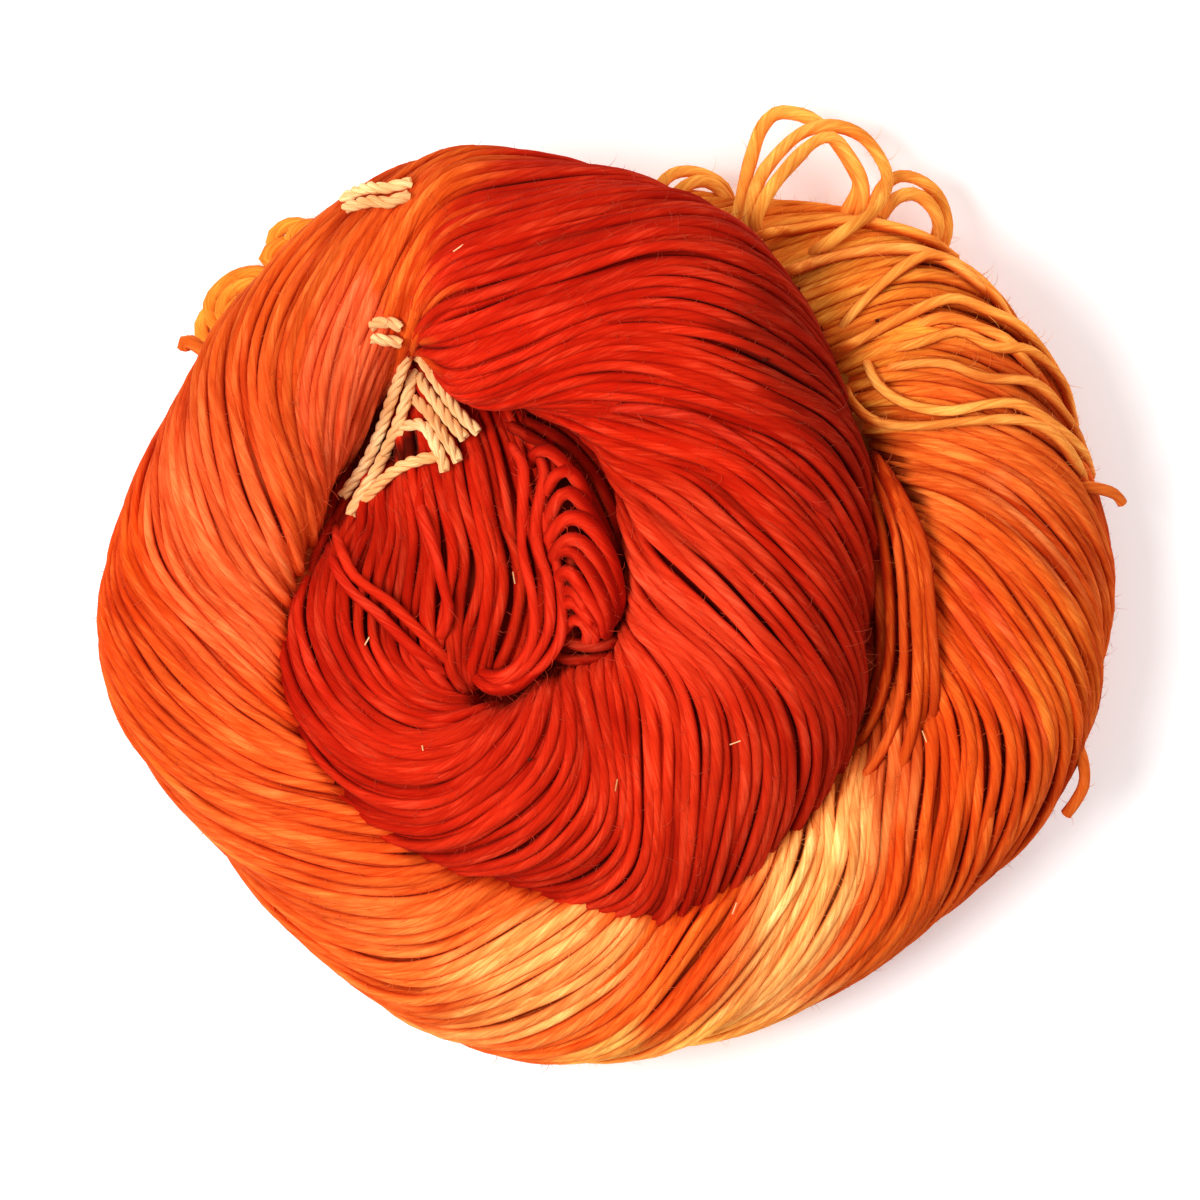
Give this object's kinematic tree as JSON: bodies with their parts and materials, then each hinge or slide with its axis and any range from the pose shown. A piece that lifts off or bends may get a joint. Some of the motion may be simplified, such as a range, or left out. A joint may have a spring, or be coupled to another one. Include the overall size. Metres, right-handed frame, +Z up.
{
  "type": "hank of yarn",
  "caption": "Twisted hank of hand-dyed singles yarn coiled flat into a rosette, end tucked in at the middle, held by cotton ties, shaded from yellow through orange to red.",
  "frame": {"origin": "on the surface the hank lies on, under the middle of its bounding box", "axes": "+Z up, the hank's smallest extent; +X along its longest extent, to the right when it is seen from above with its standing loops at the top"},
  "size_m": [0.2062, 0.1924, 0.0579],
  "materials": {
    "dyed_wool": "matt fuzzy singles yarn, hand-dyed from orange to red",
    "yellow_dyed_wool": "matt fuzzy singles yarn, hand-dyed golden orange",
    "cotton_tie": "matt plied cotton cord"
  },
  "bodies": {
    "root": {"hank": "dyed_wool", "loose_end_right": "dyed_wool", "loose_end_front": "dyed_wool", "end_loop_1": "yellow_dyed_wool", "end_loop_2": "yellow_dyed_wool", "side_loop": "yellow_dyed_wool", "small_loop": "yellow_dyed_wool", "left_loop_1": "yellow_dyed_wool", "left_loop_2": "yellow_dyed_wool", "tie_left_outer": "cotton_tie", "tie_left_inner": "cotton_tie", "tie_return": "cotton_tie", "tie_right_outer": "cotton_tie", "tie_right_inner": "cotton_tie", "tie_tail_upper": "cotton_tie", "tie_tail_lower": "cotton_tie", "edge_tie_upper": "cotton_tie", "edge_tie_lower": "cotton_tie", "small_tie_upper": "cotton_tie", "small_tie_lower": "cotton_tie"}
  },
  "joints": []
}
